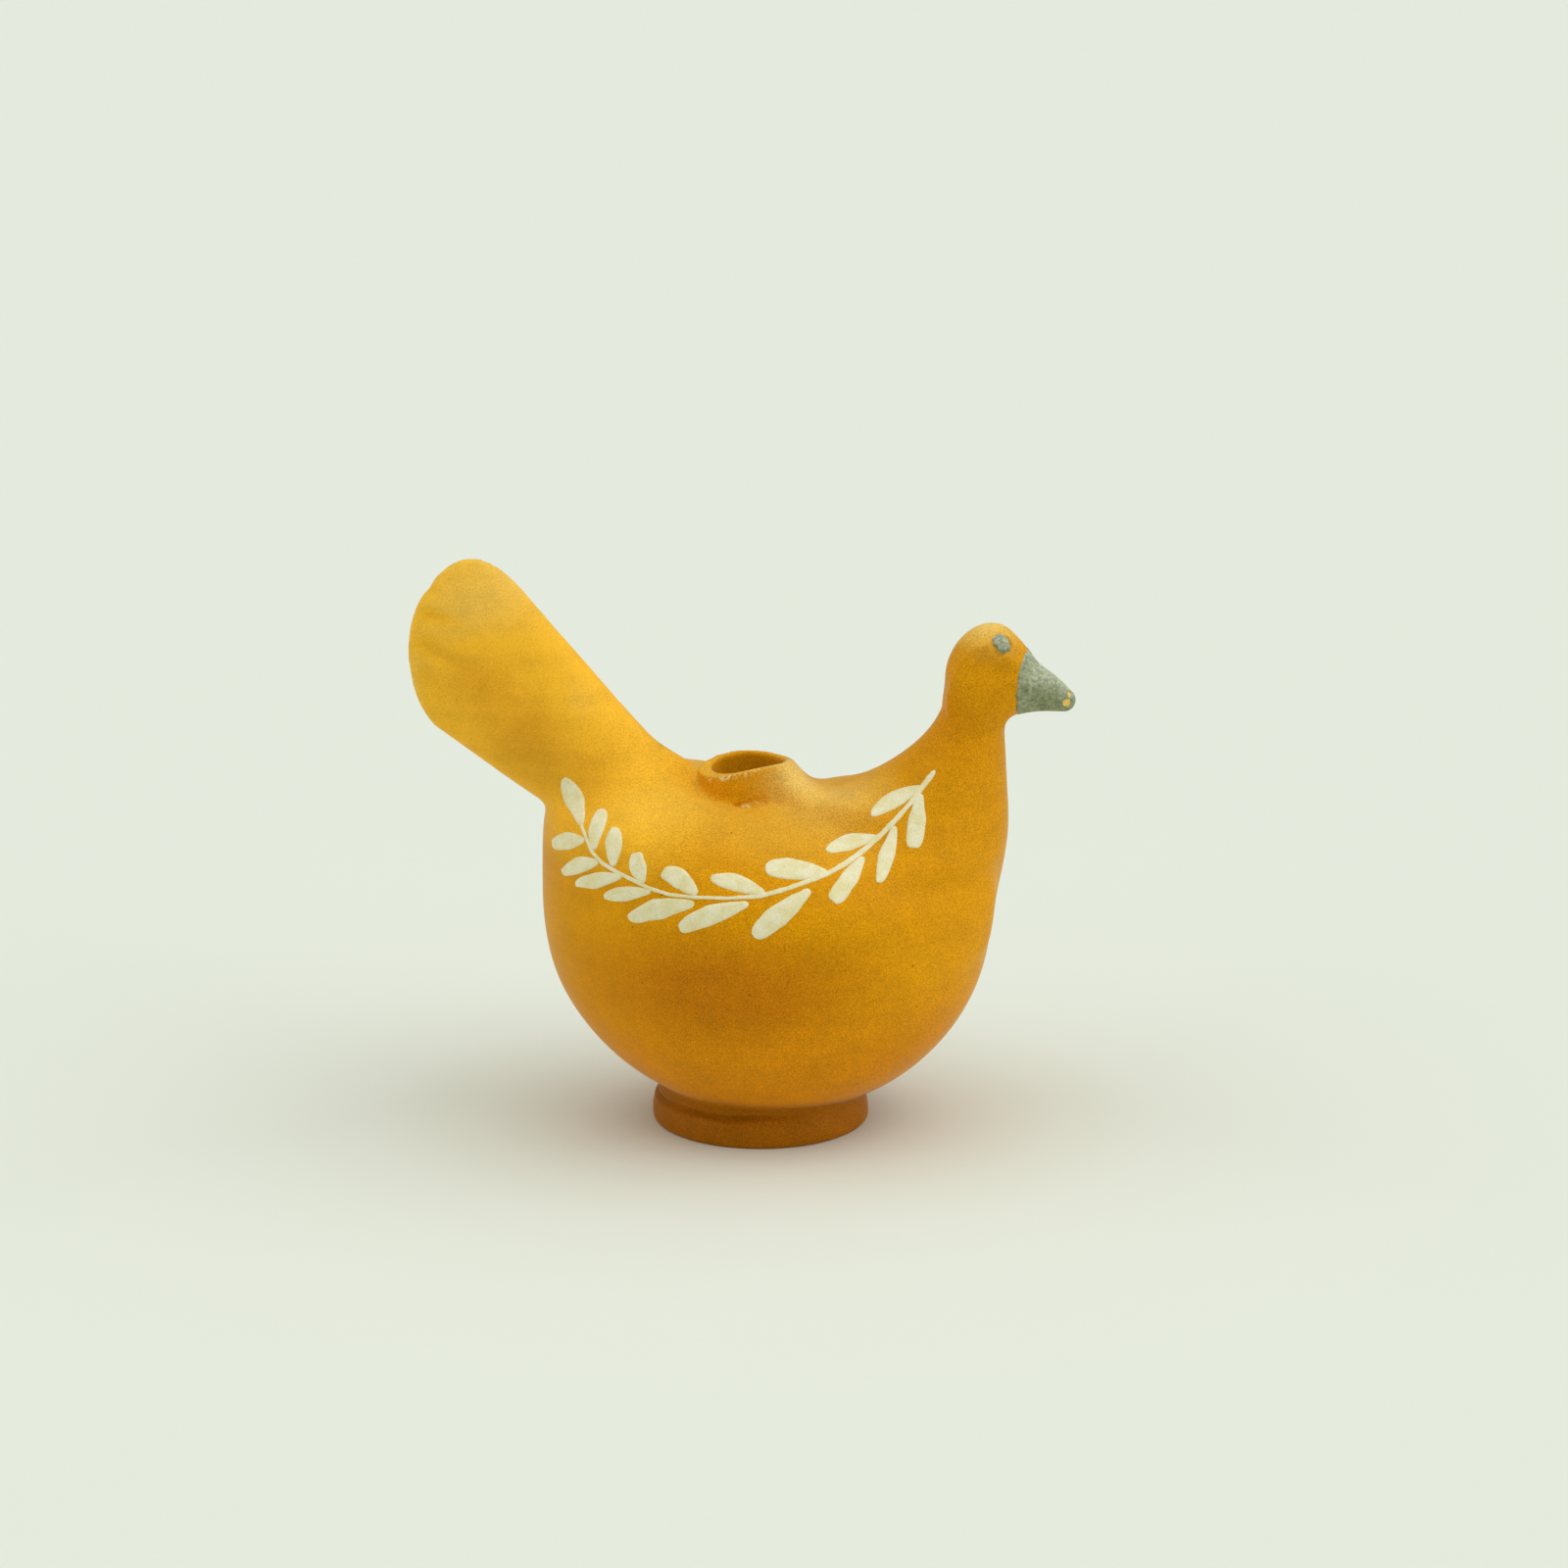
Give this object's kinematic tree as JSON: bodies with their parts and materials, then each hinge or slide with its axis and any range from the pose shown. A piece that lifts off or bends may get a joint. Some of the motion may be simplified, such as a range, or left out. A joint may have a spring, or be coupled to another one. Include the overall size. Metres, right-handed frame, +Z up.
{
  "type": "bud vase",
  "caption": "Hand-built bird-shaped bud vase: hollow round body on a foot ring, short mouth collar on the back, raised paddle tail, small head and beak, painted leafy sprig on each side.",
  "frame": {"origin": "on the table, under the middle of the whole bird (middle of the bounding box in X and Y, the foot's underside in Z)", "axes": "+X towards the beak, +Y towards the bird's left side, +Z up"},
  "size_m": [0.1392, 0.0824, 0.1216],
  "materials": {
    "ochre_clay": "matte ochre-yellow slip over earthenware, faintly mottled",
    "grey_slip": "matte grey-green brushed slip",
    "white_slip": "matte cream-white brushed slip"
  },
  "bodies": {
    "root": {"foot_ring": "ochre_clay", "lower_bowl": "ochre_clay", "upper_back": "ochre_clay", "mouth_collar": "ochre_clay", "neck": "ochre_clay", "head": "ochre_clay", "tail": "ochre_clay", "beak": "grey_slip", "eye_left": "grey_slip", "eye_right": "grey_slip", "sprig_left": "white_slip", "sprig_right": "white_slip"}
  },
  "joints": []
}
